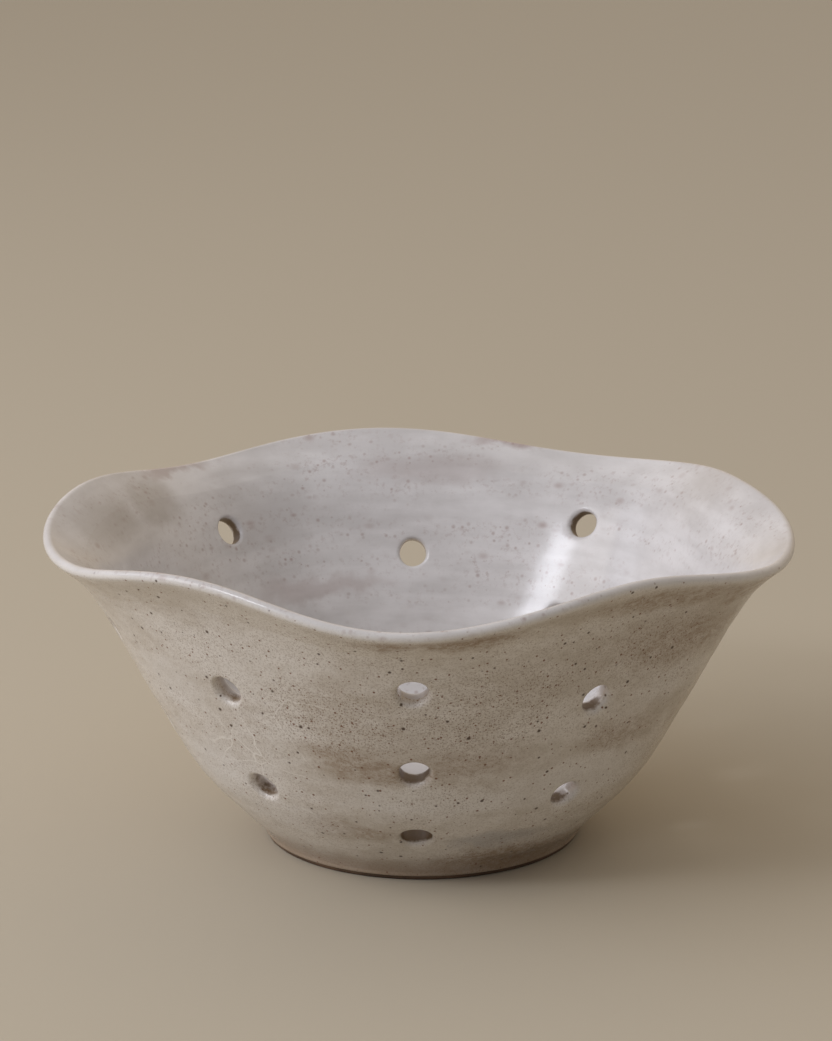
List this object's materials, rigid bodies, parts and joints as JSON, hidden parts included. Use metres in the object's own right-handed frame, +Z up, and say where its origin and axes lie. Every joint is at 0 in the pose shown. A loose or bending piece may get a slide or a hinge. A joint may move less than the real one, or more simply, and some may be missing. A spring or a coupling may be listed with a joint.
{
  "type": "berry colander bowl",
  "caption": "Hand-thrown stoneware berry bowl with a flared, waved rim, a short foot ring and rows of round drain holes through its wall and floor.",
  "frame": {"origin": "middle of the foot, on the surface that the bowl stands on", "axes": "+Z up along the bowl's axis, +X to the right and -Y towards the front, under a low point of the rim"},
  "size_m": [0.1803, 0.1757, 0.0827],
  "materials": {
    "bare_clay": "bare iron-bearing stoneware clay, matt, fired brown",
    "lip_glaze": "satin-gloss milky glaze, thin over the lip, with iron specks",
    "outside_glaze": "satin-gloss grey-beige glaze, cloudy, with dense iron specks",
    "inside_glaze": "satin-gloss milky white glaze with sparse iron specks"
  },
  "bodies": {
    "root": {"foot_ring": "bare_clay", "floor_disc": "bare_clay", "wall": "bare_clay", "rim_lip": "lip_glaze", "glaze_outside": "outside_glaze", "glaze_inside": "inside_glaze"}
  },
  "joints": []
}
